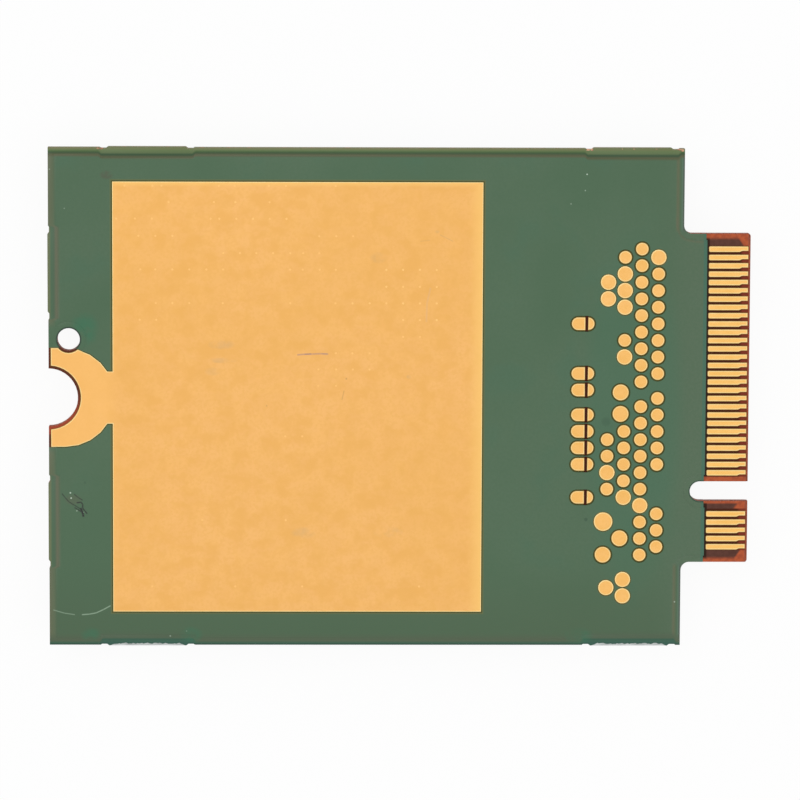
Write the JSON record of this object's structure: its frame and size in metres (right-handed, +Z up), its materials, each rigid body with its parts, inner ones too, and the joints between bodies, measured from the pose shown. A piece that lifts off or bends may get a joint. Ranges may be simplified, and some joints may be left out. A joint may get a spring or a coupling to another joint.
{
  "type": "lte modem module",
  "caption": "Flat radio modem card: keyed card-edge tongue, half-round mounting notch, bare gold ground pad and probe pads above, metal shield and antenna receptacles below.",
  "frame": {"origin": "under the middle of the card, on the plane of the shield cover's outer face", "axes": "+X from the mounting end to the card-edge tongue, +Z up, out of the bare pad side"},
  "size_m": [0.042, 0.03, 0.0023],
  "materials": {
    "laminate": "woven glass and resin board, sawn edges",
    "solder_mask": "green resin film, semi-gloss",
    "gold_plating": "thin gold plating on copper, satin",
    "solder": "bright tinned copper",
    "shield_metal": "pressed nickel-silver sheet, satin",
    "thermal_pad": "soft filled silicone, matt",
    "receptacle_moulding": "ivory moulded resin",
    "receptacle_metal": "gold-plated contact metal",
    "chip_moulding": "black moulding compound, matt",
    "filter_lid": "plated lid, satin",
    "ferrite": "pressed iron powder, matt",
    "capacitor_ceramic": "fired tan ceramic with tinned ends",
    "resistor_ceramic": "black-glazed ceramic with tinned ends"
  },
  "bodies": {
    "root": {"circuit_board": "laminate", "pad_side_solder_mask": "solder_mask", "component_side_solder_mask": "solder_mask", "ground_pad": "gold_plating", "component_side_mount_pad": "gold_plating", "even_contacts": "gold_plating", "odd_contacts": "gold_plating", "test_pads": "gold_plating", "ground_test_pads": "gold_plating", "split_pads": "gold_plating", "shield_land": "solder", "receptacle_lands": "solder", "shield_frame": "shield_metal", "shield_cover": "shield_metal", "processor_thermal_pad": "thermal_pad", "amplifier_thermal_pads": "thermal_pad", "main_receptacle_base": "receptacle_moulding", "main_receptacle_shell": "receptacle_metal", "main_receptacle_pin": "receptacle_metal", "auxiliary_receptacle_base": "receptacle_moulding", "auxiliary_receptacle_shell": "receptacle_metal", "auxiliary_receptacle_pin": "receptacle_metal", "baseband_processor": "chip_moulding", "memory_chip": "chip_moulding", "power_management_chip": "chip_moulding", "rf_transceiver": "chip_moulding", "clock_buffer": "chip_moulding", "low_noise_amplifiers": "chip_moulding", "power_amplifiers": "chip_moulding", "envelope_tracker": "chip_moulding", "antenna_switch": "chip_moulding", "duplexers": "filter_lid", "receive_filters": "filter_lid", "reference_crystal": "filter_lid", "power_inductors": "ferrite", "bulk_capacitors": "capacitor_ceramic", "digital_capacitors": "capacitor_ceramic", "radio_capacitors": "capacitor_ceramic", "chip_resistors": "resistor_ceramic"}
  },
  "joints": []
}
